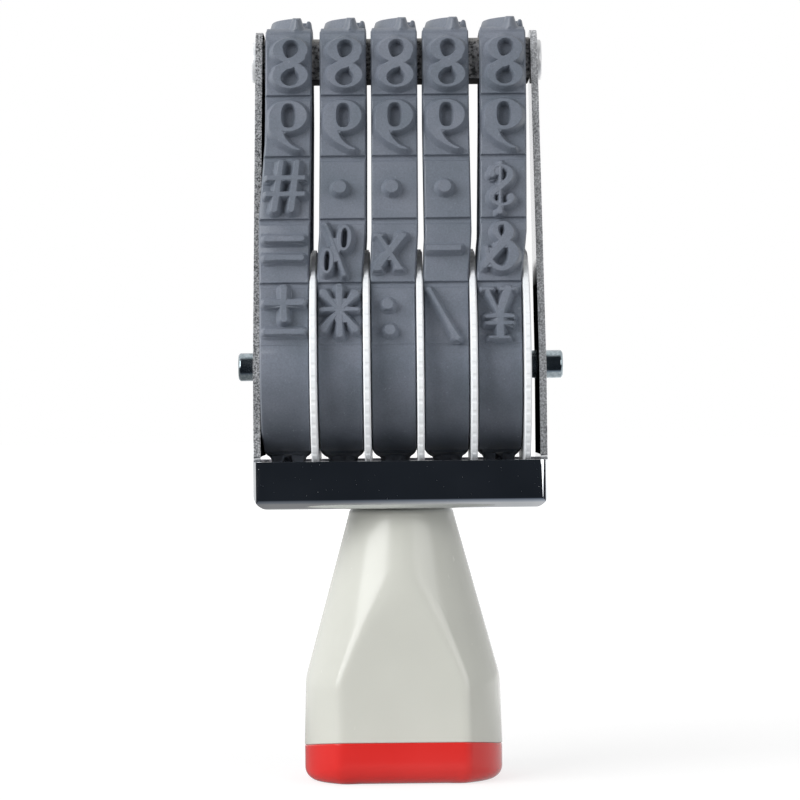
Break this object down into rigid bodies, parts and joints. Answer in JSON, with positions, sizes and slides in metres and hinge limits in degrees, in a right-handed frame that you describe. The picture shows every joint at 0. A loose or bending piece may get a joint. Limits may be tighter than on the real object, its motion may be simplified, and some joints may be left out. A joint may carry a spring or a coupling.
{
  "type": "numbering machine",
  "caption": "Hand numbering stamp: thumbwheels turn endless rubber type bands over a printing bar in a plated yoke on a flared grip with a red cap.",
  "frame": {"origin": "middle of the flat end of the handle cap, on which the stamp stands", "axes": "+Z along the handle to the printing end, +X across the bands along the axle, -Y towards the front, the side with the fewer characters"},
  "size_m": [0.0509, 0.0364, 0.1189],
  "materials": {
    "chrome_plate": "bright plated pressed sheet steel",
    "platen_metal": "dull, finely speckled bar metal",
    "rivet_steel": "bright plated rivet",
    "pin_steel": "bright drawn pin with turned ends",
    "screw_steel": "zinc-plated screw and washer",
    "wheel_plastic": "satin white moulded plastic",
    "band_rubber": "matte grey-blue moulded rubber",
    "handle_plastic": "glossy warm-grey moulded plastic",
    "cap_plastic": "glossy red moulded plastic"
  },
  "bodies": {
    "stamp": {"yoke": "chrome_plate", "platen": "platen_metal", "platen_rivets": "rivet_steel", "axle": "pin_steel", "number_band_1": "band_rubber", "number_band_2": "band_rubber", "number_band_3": "band_rubber", "number_band_4": "band_rubber", "number_band_5": "band_rubber", "handle": "handle_plastic", "handle_cap": "cap_plastic", "base_screw": "screw_steel", "base_washer": "screw_steel"},
    "wheel_1": {"number_wheel_1": "wheel_plastic"},
    "wheel_2": {"number_wheel_2": "wheel_plastic"},
    "wheel_3": {"number_wheel_3": "wheel_plastic"},
    "wheel_4": {"number_wheel_4": "wheel_plastic"},
    "wheel_5": {"number_wheel_5": "wheel_plastic"}
  },
  "joints": [
    {"name": "wheel_1_turn", "type": "hinge", "parent": "stamp", "child": "wheel_1", "pos_m": [0, 0, 0.0646], "axis": [1, 0, 0], "continuous": true},
    {"name": "wheel_2_turn", "type": "hinge", "parent": "stamp", "child": "wheel_2", "pos_m": [0, 0, 0.0646], "axis": [1, 0, 0], "continuous": true},
    {"name": "wheel_3_turn", "type": "hinge", "parent": "stamp", "child": "wheel_3", "pos_m": [0, 0, 0.0646], "axis": [1, 0, 0], "continuous": true},
    {"name": "wheel_4_turn", "type": "hinge", "parent": "stamp", "child": "wheel_4", "pos_m": [0, 0, 0.0646], "axis": [1, 0, 0], "continuous": true},
    {"name": "wheel_5_turn", "type": "hinge", "parent": "stamp", "child": "wheel_5", "pos_m": [0, 0, 0.0646], "axis": [1, 0, 0], "continuous": true}
  ]
}
